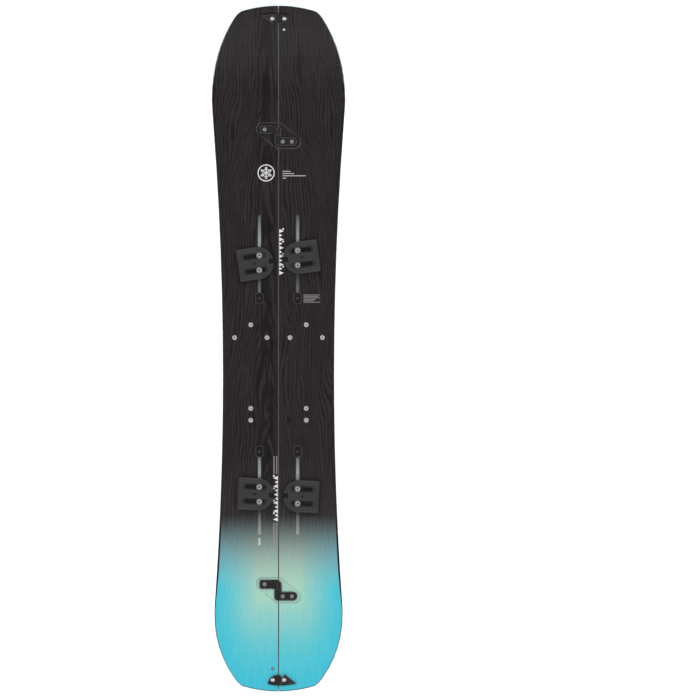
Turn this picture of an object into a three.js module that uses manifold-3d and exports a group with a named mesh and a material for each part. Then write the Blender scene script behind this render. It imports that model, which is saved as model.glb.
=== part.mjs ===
// Splitboard: a snowboard that parts along its middle into two skis.
// Millimetres. The board lies on its base: +Z is the topsheet's normal, +Y points to the nose and +X to the
// right seen from above. The seam is the plane x = 0, and z = 0 is the floor under the base.
import * as THREE from 'three';
import { mergeVertices } from 'three/addons/utils/BufferGeometryUtils.js';
import Module from 'manifold-3d';

const wasm = await Module();
wasm.setup();

// ---------------------------------------------------------------- driving dimensions
const HALF_LENGTH = 780;
const TIP_RADIUS = 300; // the blunt arc across the nose and the tail
const CAP_HALF_WIDTH = 80; // where that arc turns into the rounded corner
const WAIST = { x: 126.85, y: -62 };
const NOSE = { sidecut: 7500, cornerX: 100.5, cornerY: 752.5, widestX: 152.1, widestY: 566, blendY: 506 };
const TAIL = { sidecut: 7300, cornerX: 99.8, cornerY: -751.5, widestX: 146.1, widestY: -606, blendY: -575 };
const SEAM = 0.1; // half the gap between the two halves
const BLUNT_XS = [10, 20, 32, 44]; // corners of the layers across the blunt ends

const NOSE_KICK = { start: 545, radius: 560 };
const TAIL_KICK = { start: -585, radius: 620 };

const BOND = 0.05; // resin line between layers
const BASE_T = 1.3;
const EDGE_T = 1.9;
const EDGE_W = 2.2;
const CORE_MID = 5;
const CORE_TIP = 1.2;
const TAPER_FROM = 450;
const TAPER_TO = 600;
const LAMINATE_T = 0.55;
const TOPSHEET_T = 0.45;
const SIDEWALL_W = 8;
const SIDEWALL_BEVEL = 4.4;
const SIDEWALL_ENDS = { nose: 605, tail: -590 };
const SIDEWALL_FADE = 60; // the side layers narrow to the edge's width over this length
const SEAM_LIP = 1.2; // the seam wall shows this wide beside the topsheet
const CORE_BOTTOM = 2.05;
const SKIN_T = BOND + LAMINATE_T + BOND + TOPSHEET_T;

const CHANNEL_X = 43.6;
const CHANNEL = { slot: 8, skin: 7.6, outer: 17.2, cavity: 13, floor: 1, lip: 1.45 };
const CHANNELS = {
  front: { inner: 103.2, outer: 306.3 },
  rear: { inner: -222.9, outer: -427.1 },
};
const PLUG = { width: 14.5, length: 23.7, radius: 5, gap: 0.3 };
const SCREW_PITCH = 33.5;
const PUCK = {
  height: 10, halfWidth: 37, flat: 48.7, apex: 33, corner: 3.5, // plan and thickness
  foot: 3, waistTop: 6.5, waistIn: 3, // the grooves along both sides
};
const PUCK_SLOT = { pitch: 33, centre: 10.5, length: 54, width: 12.6, floor: 5, through: 8 };
const PUCK_NOTCH = { x0: -30, x1: -21.4, half: 5.5 };
const PUCK_GAP = 0.3; // between the puck and the topsheet
const PUCKS = {
  left_front: { x: -CHANNEL_X, y: 195.6, turn: 8.5 },
  right_front: { x: CHANNEL_X, y: 207, turn: 7.5 },
  left_rear: { x: -CHANNEL_X, y: -332, turn: -3 },
  right_rear: { x: CHANNEL_X, y: -336.3, turn: -2.5 },
};
const TOURING_INSERTS = [[63.2, 54.5], [100.2, 25.3], [26.2, 25.3]];
const HEEL_INSERTS = [[63.2, -136.1], [63.2, -163.2]];
const INSERT = { radius: 5.35, bore: 2.7, plate: 1, margin: 8, web: 10 };

const HOOKS = { front: 486, rear: -550.8 };
const HOOK_T = 3;
const FREE_GAP = 0.5; // a hook's finger stands this far over the other half
const SPLIT_SLOPE = 1; // the hooks' faces lean one across for one along, the way the halves part

const NOSE_CLIP = { pivot: [13.7, 752.4], post: [-13.7, 752.4], park: [13, 726.3], turn: Math.PI };
const TAIL_CLIP = { pivot: [-13, -755.7], post: [13, -755.7], park: [-12.5, -729.5], turn: 0 };
const RIVET_R = 4.45;
const POST_GAP = 0.4; // round a post or a rivet head
const LEVER = { under: 2.2, over: 4.6, bore: 2.9, hub: 6, cradle: 1.5 };
const CATCH = { under: 0.3, notch: 25.1, clearance: 0.5 };

// ---------------------------------------------------------------- colours and finishes
const FINISH = {
  base: { color: 0x35b9cf, roughness: 0.35, metalness: 0 },
  topsheet: { color: 0x262324, roughness: 0.5, metalness: 0 },
  laminate: { color: 0xb9b48f, roughness: 0.6, metalness: 0 },
  core: { color: 0xc59a62, roughness: 0.75, metalness: 0 },
  sidewall: { color: 0x1c1c1e, roughness: 0.55, metalness: 0 },
  seamWall: { color: 0x57585a, roughness: 0.5, metalness: 0 },
  edge: { color: 0x8c9094, roughness: 0.3, metalness: 1 },
  channel: { color: 0xa9b0ad, roughness: 0.35, metalness: 1 },
  steel: { color: 0xb8bbbf, roughness: 0.28, metalness: 1 },
  plastic: { color: 0x1b1a1c, roughness: 0.5, metalness: 0 },
  puck: { color: 0x303032, roughness: 0.55, metalness: 0 },
};

// ---------------------------------------------------------------- shape of the whole board
function quadratic(x0, y0, cx, cy, x1, y1) {
  const [start, control, end] = [[x0, y0], [cx, cy], [x1, y1]].map(([x, y]) => new THREE.Vector2(x, y));
  return new THREE.QuadraticBezierCurve(start, control, end);
}

function tipArc(side) {
  const centre = side * (HALF_LENGTH - TIP_RADIUS);
  const half = Math.asin(CAP_HALF_WIDTH / TIP_RADIUS);
  const from = side > 0 ? Math.PI / 2 : -Math.PI / 2 + half;
  const to = side > 0 ? Math.PI / 2 - half : -Math.PI / 2;
  return new THREE.EllipseCurve(0, centre, TIP_RADIUS, TIP_RADIUS, from, to, true);
}

function sidecutAt(end, y) {
  return WAIST.x + (y - WAIST.y) ** 2 / (2 * end.sidecut);
}

// Where two tangents meet, which is the control point of the curve between them.
function tangentCross(x0, y0, slope0, x1, y1, slope1) {
  const x = (y1 - y0 + slope0 * x0 - slope1 * x1) / (slope0 - slope1);
  return [x, y0 + slope0 * (x - x0)];
}

function cornerCurve(end, side, slope) {
  const capY = side * (HALF_LENGTH - TIP_RADIUS + Math.sqrt(TIP_RADIUS ** 2 - CAP_HALF_WIDTH ** 2));
  const capSlope = -side * CAP_HALF_WIDTH / Math.sqrt(TIP_RADIUS ** 2 - CAP_HALF_WIDTH ** 2);
  const [cx, cy] = tangentCross(CAP_HALF_WIDTH, capY, capSlope, end.cornerX, end.cornerY, slope);
  return side > 0
    ? quadratic(CAP_HALF_WIDTH, capY, cx, cy, end.cornerX, end.cornerY)
    : quadratic(end.cornerX, end.cornerY, cx, cy, CAP_HALF_WIDTH, capY);
}

// The right-hand half of the outline, from the middle of the nose to the middle of the tail.
function outlineCurves() {
  const noseSlope = -1.5;
  const tailSlope = 1.37;
  const noseControl = NOSE.cornerY + noseSlope * (NOSE.widestX - NOSE.cornerX);
  const tailControl = TAIL.cornerY + tailSlope * (TAIL.widestX - TAIL.cornerX);
  const noseBlendX = sidecutAt(NOSE, NOSE.blendY);
  const tailBlendX = sidecutAt(TAIL, TAIL.blendY);
  const noseLean = (NOSE.blendY - WAIST.y) / NOSE.sidecut;
  const tailLean = (TAIL.blendY - WAIST.y) / TAIL.sidecut;
  const waistToNose = (WAIST.y + NOSE.blendY) / 2;
  const waistToTail = (WAIST.y + TAIL.blendY) / 2;
  return [
    [tipArc(1), 4],
    [cornerCurve(NOSE, 1, noseSlope), 4],
    [quadratic(NOSE.cornerX, NOSE.cornerY, NOSE.widestX, noseControl, NOSE.widestX, NOSE.widestY), 8],
    [quadratic(NOSE.widestX, NOSE.widestY, NOSE.widestX, NOSE.blendY + (NOSE.widestX - noseBlendX) / noseLean,
      noseBlendX, NOSE.blendY), 2],
    [quadratic(noseBlendX, NOSE.blendY, WAIST.x, waistToNose, WAIST.x, WAIST.y), 6],
    [quadratic(WAIST.x, WAIST.y, WAIST.x, waistToTail, tailBlendX, TAIL.blendY), 8],
    [quadratic(tailBlendX, TAIL.blendY, TAIL.widestX, TAIL.blendY + (TAIL.widestX - tailBlendX) / tailLean,
      TAIL.widestX, TAIL.widestY), 2],
    [quadratic(TAIL.widestX, TAIL.widestY, TAIL.widestX, tailControl, TAIL.cornerX, TAIL.cornerY), 6],
    [cornerCurve(TAIL, -1, tailSlope), 4],
    [tipArc(-1), 4],
  ];
}

const OUTLINE_CURVES = outlineCurves();

// The places along the board where every layer has a corner, so that their faces stay parallel.
const STATIONS = OUTLINE_CURVES.flatMap(([curve, steps], n) => {
  const ys = Array.from({ length: steps + 1 }, (_, i) => curve.getPoint(i / steps).y);
  return n ? ys.slice(1) : ys;
});

// The outline moved inwards by a distance, from the nose to the tail.
function insetOutline(inset) {
  const fine = 8;
  return OUTLINE_CURVES.flatMap(([curve, steps]) => Array.from({ length: steps * fine + 1 }, (_, i) => {
    const p = curve.getPoint(i / (steps * fine));
    const t = curve.getTangent(i / (steps * fine));
    return { x: p.x + inset * t.y, y: p.y - inset * t.x };
  }));
}

function insetX(inset, y) {
  const points = insetOutline(inset);
  const next = points.findIndex((p) => p.y < y);
  if (next < 1) return points.at(next).x;
  const [a, b] = [points[next - 1], points[next]];
  return THREE.MathUtils.mapLinear(y, a.y, b.y, a.x, b.x);
}

// Where the inset outline meets a line at x beside the seam, at the nose (side 1) or the tail (side -1).
function insetTip(inset, x, side) {
  const points = side > 0 ? insetOutline(inset) : insetOutline(inset).reverse();
  const next = Math.max(1, points.findIndex((p) => p.x > x));
  const [a, b] = [points[next - 1], points[next]];
  return THREE.MathUtils.mapLinear(x, a.x, b.x, a.y, b.y);
}

// Straight between the stations, so that thin layers lie flat on each other.
function betweenStations(f) {
  return (y) => {
    const next = STATIONS.findIndex((s) => s <= y);
    if (next < 1) return f(STATIONS.at(next));
    const [before, after] = [STATIONS[next - 1], STATIONS[next]];
    return THREE.MathUtils.mapLinear(y, before, after, f(before), f(after));
  };
}

// How far the base is off the floor at y: flat between the contact points, then a circular kick.
const rise = betweenStations((y) => {
  const kick = y > 0 ? NOSE_KICK : TAIL_KICK;
  const run = Math.max(0, y > 0 ? y - kick.start : kick.start - y);
  return kick.radius - Math.sqrt(kick.radius ** 2 - run ** 2);
});

const coreThickness = betweenStations((y) => {
  const share = THREE.MathUtils.clamp((Math.abs(y) - TAPER_FROM) / (TAPER_TO - TAPER_FROM), 0, 1);
  return THREE.MathUtils.lerp(CORE_MID, CORE_TIP, share);
});

function coreTop(y) {
  return CORE_BOTTOM + coreThickness(y);
}

function topHeight(y) {
  return coreTop(y) + SKIN_T;
}

// A width that runs from its value along the sides to its value round the tips.
function sideToTip(side, tip) {
  return (y) => {
    const end = y > 0 ? SIDEWALL_ENDS.nose : SIDEWALL_ENDS.tail;
    const past = Math.abs(y) - Math.abs(end) + SIDEWALL_FADE;
    return THREE.MathUtils.lerp(side, tip, THREE.MathUtils.clamp(past / SIDEWALL_FADE, 0, 1));
  };
}

const coreInset = sideToTip(SIDEWALL_W + BOND, EDGE_W + BOND);
const skinInset = sideToTip(SIDEWALL_BEVEL + BOND, EDGE_W - 0.2);

// ---------------------------------------------------------------- mesh helpers
function geometryFrom(positions, triangles) {
  const g = new THREE.BufferGeometry();
  g.setAttribute('position', new THREE.Float32BufferAttribute(positions.flat(), 3));
  g.setIndex(triangles.flat());
  return cleaned(g);
}

// Welds the corners and drops triangles that have collapsed.
function cleaned(source) {
  const bare = new THREE.BufferGeometry();
  bare.setAttribute('position', source.getAttribute('position').clone());
  if (source.index) bare.setIndex(source.index.clone());
  const g = mergeVertices(bare, 1e-3);
  const index = g.index.array;
  const kept = [];
  for (let i = 0; i < index.length; i += 3) {
    const [a, b, c] = [index[i], index[i + 1], index[i + 2]];
    if (a !== b && b !== c && c !== a) kept.push(a, b, c);
  }
  g.setIndex(kept);
  return g;
}

function signedVolume(g) {
  const p = g.getAttribute('position');
  const [a, b, c] = [new THREE.Vector3(), new THREE.Vector3(), new THREE.Vector3()];
  let volume = 0;
  for (let i = 0; i < g.index.count; i += 3) {
    a.fromBufferAttribute(p, g.index.getX(i));
    b.fromBufferAttribute(p, g.index.getX(i + 1));
    c.fromBufferAttribute(p, g.index.getX(i + 2));
    volume += a.dot(b.cross(c)) / 6;
  }
  return volume;
}

function facingOut(g) {
  if (signedVolume(g) >= 0) return g;
  const flipped = [];
  for (let i = 0; i < g.index.count; i += 3) {
    flipped.push(g.index.getX(i), g.index.getX(i + 2), g.index.getX(i + 1));
  }
  g.setIndex(flipped);
  return g;
}

// Skins a row of like sections, each a closed ring of [x, y, z], and caps both ends.
function loft(sections) {
  const n = sections[0].length;
  const triangles = [];
  for (let s = 0; s + 1 < sections.length; s += 1) {
    for (let i = 0; i < n; i += 1) {
      const [a, b] = [s * n + i, s * n + (i + 1) % n];
      triangles.push([a, b, b + n], [a, b + n, a + n]);
    }
  }
  const flat = sections[Math.floor(sections.length / 2)].map((p) => new THREE.Vector2(p[0], p[2]));
  const cap = THREE.ShapeUtils.triangulateShape(flat, []);
  const last = (sections.length - 1) * n;
  const start = cap.map(([a, b, c]) => [a, b, c]);
  const end = cap.map(([a, b, c]) => [last + a, last + c, last + b]);
  const clockwise = THREE.ShapeUtils.isClockWise(flat);
  const caps = [...start, ...end].map(([a, b, c]) => (clockwise ? [a, b, c] : [a, c, b]));
  return facingOut(geometryFrom(sections.flat(), [...triangles, ...caps]));
}

function toManifold(geometry) {
  const g = cleaned(geometry);
  return new wasm.Manifold(new wasm.Mesh({
    numProp: 3,
    vertProperties: new Float32Array(g.getAttribute('position').array),
    triVerts: new Uint32Array(g.index.array),
  }));
}

function fromManifold(solid) {
  const m = solid.getMesh();
  const g = new THREE.BufferGeometry();
  g.setAttribute('position', new THREE.BufferAttribute(new Float32Array(m.vertProperties), 3));
  g.setIndex(Array.from(m.triVerts));
  return g;
}

function cut(geometry, tools) {
  const whole = toManifold(geometry);
  return fromManifold(tools.map(toManifold).reduce((solid, tool) => solid.subtract(tool), whole));
}

function join(geometries) {
  const [first, ...others] = geometries.map(toManifold);
  return fromManifold(others.reduce((solid, other) => solid.add(other), first));
}

function prism(shape, z0, z1, curveSegments = 3) {
  const g = new THREE.ExtrudeGeometry(shape, { depth: z1 - z0, bevelEnabled: false, curveSegments });
  return g.translate(0, 0, z0);
}

function roundedRect(cx, cy, w, l, r) {
  const s = new THREE.Shape();
  s.moveTo(cx - w / 2 + r, cy - l / 2);
  s.lineTo(cx + w / 2 - r, cy - l / 2);
  s.absarc(cx + w / 2 - r, cy - l / 2 + r, r, -Math.PI / 2, 0, false);
  s.lineTo(cx + w / 2, cy + l / 2 - r);
  s.absarc(cx + w / 2 - r, cy + l / 2 - r, r, 0, Math.PI / 2, false);
  s.lineTo(cx - w / 2 + r, cy + l / 2);
  s.absarc(cx - w / 2 + r, cy + l / 2 - r, r, Math.PI / 2, Math.PI, false);
  s.lineTo(cx - w / 2, cy - l / 2 + r);
  s.absarc(cx - w / 2 + r, cy - l / 2 + r, r, Math.PI, 1.5 * Math.PI, false);
  return s;
}

function disc(x, y, r, z0, z1, segments = 10) {
  const g = new THREE.CylinderGeometry(r, r, z1 - z0, segments);
  return g.rotateX(Math.PI / 2).translate(x, y, (z0 + z1) / 2);
}

function box(x0, x1, y0, y1, z0, z1) {
  const g = new THREE.BoxGeometry(x1 - x0, y1 - y0, z1 - z0);
  return g.translate((x0 + x1) / 2, (y0 + y1) / 2, (z0 + z1) / 2);
}

// ---------------------------------------------------------------- layers of one half (built for the right)
// The blunt end of an inset outline, from beside the seam to where the stations take over.
function bluntEnd(inset, seamX, side) {
  const across = BLUNT_XS.filter((x) => x > seamX + 1);
  return [seamX, ...across].map((x) => [x, insetTip(inset, x, side)]);
}

// A layer from the seam out to the outline less an inset, between two heights above the base.
function layer(seamX, insetAt, lowAt, highAt) {
  const nose = bluntEnd(insetAt(HALF_LENGTH), seamX, 1);
  const tail = bluntEnd(insetAt(-HALF_LENGTH), seamX, -1).reverse();
  const inside = STATIONS.filter((y) => y < nose.at(-1)[1] - 0.5 && y > tail[0][1] + 0.5);
  return loft([...nose, ...inside.map((y) => [insetX(insetAt(y), y), y]), ...tail].map(([x, y]) => {
    const low = rise(y) + lowAt(y);
    const high = rise(y) + highAt(y);
    return [[seamX, y, low], [x, y, low], [x, y, high], [seamX, y, high]];
  }));
}

// A strip beside the seam, whose section is a ring of [x, height] at each place along the board.
function seamStrip(limit, sectionAt) {
  const bends = STATIONS.filter((y) => Math.abs(y) < limit - 1 && Math.abs(y) > TAPER_FROM - 80);
  const places = [limit, ...bends, -limit];
  return loft(places.map((y) => sectionAt(y).map(([x, height]) => [x, y, rise(y) + height])));
}

function constant(value) {
  return () => value;
}

function baseSheet() {
  return layer(SEAM + EDGE_W + BOND, constant(EDGE_W + BOND), constant(0), constant(BASE_T));
}

function outerEdge() {
  const whole = layer(SEAM, constant(0), constant(0), constant(EDGE_T));
  return cut(whole, [layer(SEAM - 1, constant(EDGE_W), constant(-1), constant(EDGE_T + 1))]);
}

function innerEdge() {
  const section = [[SEAM, 0], [SEAM + EDGE_W, 0], [SEAM + EDGE_W, EDGE_T], [SEAM, EDGE_T]];
  return seamStrip(HALF_LENGTH - EDGE_W - 1, constant(section));
}

function lowerLaminate() {
  return layer(SEAM + EDGE_W + BOND, constant(EDGE_W + BOND), constant(BASE_T + BOND), constant(EDGE_T));
}

function outerSidewall() {
  const inside = STATIONS.filter((y) => y < SIDEWALL_ENDS.nose - 1 && y > SIDEWALL_ENDS.tail + 1);
  return loft([SIDEWALL_ENDS.nose, ...inside, SIDEWALL_ENDS.tail].map((y) => {
    const inner = coreInset(y) - BOND;
    const bevel = skinInset(y) - BOND;
    const top = coreTop(y);
    const ring = [
      [0.3, CORE_BOTTOM],
      [0.5, CORE_BOTTOM + 0.45 * coreThickness(y)],
      [bevel, top + SKIN_T - 0.1],
      [bevel, top],
      [inner, top],
      [inner, CORE_BOTTOM],
    ];
    return ring.map(([inset, height]) => [insetX(inset, y), y, rise(y) + height]);
  }));
}

function innerSidewall() {
  return seamStrip(HALF_LENGTH - EDGE_W - 1, (y) => [
    [SEAM, CORE_BOTTOM],
    [SIDEWALL_W, CORE_BOTTOM],
    [SIDEWALL_W, coreTop(y)],
    [SEAM_LIP, coreTop(y)],
    [SEAM_LIP, topHeight(y) - 0.1],
    [SEAM, topHeight(y) - 0.9],
  ]);
}

function core() {
  const slab = layer(SIDEWALL_W + BOND, coreInset, constant(CORE_BOTTOM), coreTop);
  return cut(slab, [...railPockets(), insertPlate(TOURING_INSERTS, 0.3), insertPlate(HEEL_INSERTS, 0.3)]);
}

function upperLaminate() {
  const under = (y) => coreTop(y) + BOND;
  const slab = layer(SEAM_LIP + BOND, skinInset, under, (y) => under(y) + LAMINATE_T);
  return cut(slab, skinOpenings());
}

function topsheet() {
  const slab = layer(SEAM_LIP + BOND, skinInset, (y) => topHeight(y) - TOPSHEET_T, topHeight);
  return cut(slab, skinOpenings());
}

// ---------------------------------------------------------------- channels, plugs and inserts (right half)
function railPockets() {
  const half = CHANNEL.outer / 2 + 0.1;
  return Object.values(CHANNELS).map((c) => {
    const [y0, y1] = [Math.min(c.inner, c.outer) - 2, Math.max(c.inner, c.outer) + 2];
    return box(CHANNEL_X - half, CHANNEL_X + half, y0 - 0.1, y1 + 0.1, 1, CORE_BOTTOM + CORE_MID + 1);
  });
}

function plugCentre(c) {
  return c.inner + Math.sign(c.outer - c.inner) * PLUG.length / 2;
}

// The plug's opening, as a tool that cuts everything from z0 up.
function plugOpening(c, z0) {
  const [width, length] = [PLUG.width + 2 * PLUG.gap, PLUG.length + 2 * PLUG.gap];
  return prism(roundedRect(CHANNEL_X, plugCentre(c), width, length, PLUG.radius), z0, topHeight(0) + 5, 3);
}

// Slots, plug openings and insert holes through the topsheet and the laminate under it.
function skinOpenings() {
  const tools = [...TOURING_INSERTS, ...HEEL_INSERTS].map(([x, y]) => disc(x, y, INSERT.radius + 0.1, 5, 12));
  for (const c of Object.values(CHANNELS)) {
    const middle = (plugCentre(c) + c.outer) / 2;
    const length = Math.abs(c.outer - plugCentre(c));
    const slot = roundedRect(CHANNEL_X, middle, CHANNEL.skin, length, CHANNEL.skin / 2 - 0.01);
    tools.push(prism(slot, 5, 12, 3), plugOpening(c, 5));
  }
  return tools;
}

function channelRail(c) {
  const [half, cavity, slot] = [CHANNEL.outer / 2, CHANNEL.cavity / 2, CHANNEL.slot / 2];
  const [z0, z1] = [CORE_BOTTOM + BOND, CORE_BOTTOM + CORE_MID];
  const [floor, lip] = [z0 + CHANNEL.floor, z1 - CHANNEL.lip];
  const ring = [
    [-half, z0], [half, z0], [half, z1], [slot, z1], [slot, lip], [cavity, lip],
    [cavity, floor], [-cavity, floor], [-cavity, lip], [-slot, lip], [-slot, z1], [-half, z1],
  ];
  const [y0, y1] = [Math.min(c.inner, c.outer) - 2, Math.max(c.inner, c.outer) + 2];
  const rail = loft([y1, y0].map((y) => ring.map(([x, z]) => [CHANNEL_X + x, y, z])));
  return cut(rail, [plugOpening(c, lip - 0.05)]);
}

function channelPlug(c) {
  const y = plugCentre(c);
  const cap = roundedRect(CHANNEL_X, y, PLUG.width, PLUG.length, PLUG.radius);
  const foot = roundedRect(CHANNEL_X, y, CHANNEL.cavity - 0.8, PLUG.length - 1.5, 3);
  const step = CORE_BOTTOM + CORE_MID - CHANNEL.lip + 0.2;
  const body = join([prism(cap, step, topHeight(0) + 0.1, 3), prism(foot, CORE_BOTTOM + 1.4, step + 0.5, 1)]);
  const grip = roundedRect(CHANNEL_X, y, 6, 3, 1.2);
  return cut(body, [prism(grip, topHeight(0) - 1.6, topHeight(0) + 2, 1)]);
}

// Threaded inserts standing on the plate that keeps them from pulling out of the core.
function insertPlate(inserts, clearance) {
  const [z0, z1] = [CORE_BOTTOM + (clearance ? -1 : BOND), CORE_BOTTOM + INSERT.plate + clearance];
  const r = INSERT.radius + clearance;
  const margin = INSERT.margin + clearance;
  const flanges = inserts.map(([x, y]) => disc(x, y, margin, z0, z1));
  const bosses = inserts.map(([x, y]) => disc(x, y, r, z0, clearance ? 12 : topHeight(0) + 0.05));
  const next = (i) => inserts[(i + 1) % inserts.length];
  const webs = inserts.map((a, i) => webBetween(a, next(i), INSERT.web + 2 * clearance, z0, z1));
  const count = inserts.length > 2 ? webs.length : 1;
  const plate = join([...flanges, ...webs.slice(0, count), ...bosses]);
  if (clearance) return plate;
  return cut(plate, inserts.map(([x, y]) => disc(x, y, INSERT.bore, CORE_BOTTOM + 2, 12)));
}

function webBetween([ax, ay], [bx, by], width, z0, z1) {
  const length = Math.hypot(bx - ax, by - ay);
  const g = new THREE.BoxGeometry(length, width, z1 - z0);
  g.rotateZ(Math.atan2(by - ay, bx - ax));
  return g.translate((ax + bx) / 2, (ay + by) / 2, (z0 + z1) / 2);
}

// ---------------------------------------------------------------- binding pucks and their fasteners
function puckOutline() {
  const s = new THREE.Shape();
  const centre = PUCK.halfWidth - PUCK.apex;
  const r = PUCK.corner;
  s.moveTo(PUCK.flat - r, -PUCK.halfWidth);
  s.absarc(PUCK.flat - r, -PUCK.halfWidth + r, r, -Math.PI / 2, 0, false);
  s.absarc(PUCK.flat - r, PUCK.halfWidth - r, r, 0, Math.PI / 2, false);
  s.absarc(centre, 0, PUCK.halfWidth, Math.PI / 2, 1.5 * Math.PI, false);
  return s;
}

// The puck's flat end points to +x here; its round end faces the seam.
function puckBlock() {
  const block = prism(puckOutline(), 0, PUCK.height, 7);
  const tools = [];
  const { pitch, centre, length, width, floor, through } = PUCK_SLOT;
  for (const side of [-1, 1]) {
    const y = side * pitch / 2;
    const groove = [side * (PUCK.halfWidth - PUCK.waistIn), side * (PUCK.halfWidth + 5)];
    tools.push(box(-40, 60, Math.min(...groove), Math.max(...groove), PUCK.foot, PUCK.waistTop));
    tools.push(prism(roundedRect(centre, y, length, width, 4), floor, 20, 2));
    tools.push(prism(roundedRect(centre, y, length - 10, through, through / 2 - 0.1), -5, 20, 2));
  }
  tools.push(box(PUCK_NOTCH.x0, PUCK_NOTCH.x1, -PUCK_NOTCH.half, PUCK_NOTCH.half, 4, 20));
  tools.push(disc(11, 0, 3.2, 4, 20, 6));
  return cut(block, tools);
}

function placedPuck(p) {
  const g = puckBlock();
  if (p.x < 0) g.rotateZ(Math.PI);
  g.rotateZ(THREE.MathUtils.degToRad(p.turn));
  return g.translate(p.x, p.y, topHeight(0) + PUCK_GAP);
}

// Screw with its captive washer: shaft in the nut strip, washer on the puck's top.
function puckScrew(p, end) {
  const seat = topHeight(0) + PUCK_GAP + PUCK.height + 0.1;
  const profile = [
    [0, CORE_BOTTOM + 1.5], [2.9, CORE_BOTTOM + 1.5], [2.9, seat], [7.25, seat], [7.25, seat + 1.2],
    [5, seat + 1.2], [4.4, seat + 3.2], [0, seat + 3.2],
  ];
  const g = new THREE.LatheGeometry(profile.map(([x, y]) => new THREE.Vector2(x, y)), 10);
  g.rotateX(Math.PI / 2).translate(p.x, p.y + end * SCREW_PITCH / 2, 0);
  const hex = disc(p.x, p.y + end * SCREW_PITCH / 2, 2.2, seat + 1.6, seat + 9, 6);
  return cut(g, [hex]);
}

function nutStrip(p) {
  const [z0, z1] = [CORE_BOTTOM + 1.4, CORE_BOTTOM + 3.3];
  const strip = prism(roundedRect(p.x, p.y, CHANNEL.cavity - 1, SCREW_PITCH + 13, 2), z0, z1, 2);
  const bores = [-1, 1].map((end) => disc(p.x, p.y + end * SCREW_PITCH / 2, 3.1, 0, 12));
  return cut(strip, bores);
}

// ---------------------------------------------------------------- hooks across the seam
// Lays a flat piece, drawn in plan round (0, y), on the topsheet.
function onTopsheet(g, y) {
  const flat = cleaned(g.translate(0, y, 0));
  const p = flat.getAttribute('position');
  for (let i = 0; i < p.count; i += 1) p.setZ(i, p.getZ(i) + topHeight(p.getY(i)));
  return flat;
}

function leftHookShape() {
  const s = new THREE.Shape();
  s.moveTo(-38.8, 3.2);
  s.lineTo(-3.2, 3.2);
  s.lineTo(-3.2 + 6.4 * SPLIT_SLOPE, -3.2);
  s.lineTo(6.8, -3.2);
  s.lineTo(6.8, 12);
  s.absarc(-5, 12, 11.8, 0, Math.PI / 2, false);
  s.lineTo(-38.8, 23.8);
  s.absarc(-38.8, 19.3, 4.5, Math.PI / 2, Math.PI, false);
  s.lineTo(-43.3, 7.7);
  s.absarc(-38.8, 7.7, 4.5, Math.PI, 1.5 * Math.PI, false);
  return s;
}

function rightHookShape() {
  const s = new THREE.Shape();
  s.moveTo(32.8, -3.6);
  s.lineTo(3, -3.6);
  s.lineTo(-3.4, 2.8);
  s.lineTo(-9.6, 2.8);
  s.lineTo(-9.6, -15.7);
  s.absarc(-1.6, -15.7, 8, Math.PI, 1.5 * Math.PI, false);
  s.lineTo(32.8, -23.7);
  s.absarc(32.8, -13.65, 10.05, -Math.PI / 2, Math.PI / 2, false);
  return s;
}

// The plate stands clear of the other half; a pad carries it on its own half.
function hook(side, y) {
  const shape = side < 0 ? leftHookShape() : rightHookShape();
  const plate = prism(shape, FREE_GAP, FREE_GAP + HOOK_T, 3);
  const own = side < 0 ? box(-60, -2, -40, 40, 0, FREE_GAP + 1) : box(2, 60, -40, 40, 0, FREE_GAP + 1);
  const pad = fromManifold(toManifold(prism(shape, 0.05, FREE_GAP + 0.5, 3)).intersect(toManifold(own)));
  const screws = side < 0 ? [[-31.7, 13.7]] : [[9.8, -13.9], [30.5, -13.9]];
  const sinks = screws.map(([x, cy]) => disc(x, cy, 3, FREE_GAP + HOOK_T - 1.2, 10, 12));
  return onTopsheet(cut(join([plate, pad]), sinks), y);
}

// ---------------------------------------------------------------- clips at the nose and the tail
// A clip is drawn with its pivot at the origin and its post at +x, as at the tail, then laid on the kick.
function onKick(g, [x, y], turn) {
  const kick = y > 0 ? NOSE_KICK : TAIL_KICK;
  g.rotateZ(turn);
  g.rotateX(Math.asin((y - kick.start) / kick.radius));
  return g.translate(x, y, rise(y) + topHeight(y));
}

function clipSpan(clip) {
  return Math.abs(clip.post[0] - clip.pivot[0]);
}

// Both halves of a clip share the long curve along the board's end.
function clipShape(...points) {
  const s = new THREE.Shape();
  s.moveTo(-11.6, -8);
  s.quadraticCurveTo(13, -16.2, 53.1, -7.5);
  points.forEach(([x, y]) => s.lineTo(x, y));
  s.quadraticCurveTo(-5, 13, -11.6, -8);
  return s;
}

// A wedge of a disc round the pivot, between two angles in radians.
function wedge(radius, from, to) {
  const s = new THREE.Shape();
  s.moveTo(0, 0);
  s.lineTo(radius * Math.cos(from), radius * Math.sin(from));
  s.absarc(0, 0, radius, from, to, false);
  return prism(s, -1, 9, 16);
}

function postHole(clip) {
  return disc(clipSpan(clip), 0, RIVET_R + POST_GAP, -1, 9, 16);
}

// The lever ends in an arc short of the post, and cradles the post only on the side that it swings away to.
function clipLever(clip) {
  const reach = clipSpan(clip) - RIVET_R - POST_GAP;
  const shape = clipShape([24.4, 3.2], [22.6, 5.4], [16.2, 12.2], [13.5, 12.9]);
  const beyond = [
    cut(wedge(60, -Math.PI / 2, 0), [disc(0, 0, reach, -2, 10, 32)]),
    cut(wedge(60, -0.1, 1), [disc(0, 0, clipSpan(clip) - LEVER.cradle, -2, 10, 32)]),
  ];
  const plate = cut(prism(shape, LEVER.under, LEVER.over, 8), beyond);
  const hub = disc(0, 0, LEVER.hub, CATCH.under, LEVER.under + 0.5);
  const bored = cut(join([plate, hub]), [disc(0, 0, LEVER.bore, -1, 9), postHole(clip)]);
  return onKick(bored, clip.pivot, clip.turn);
}

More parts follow.
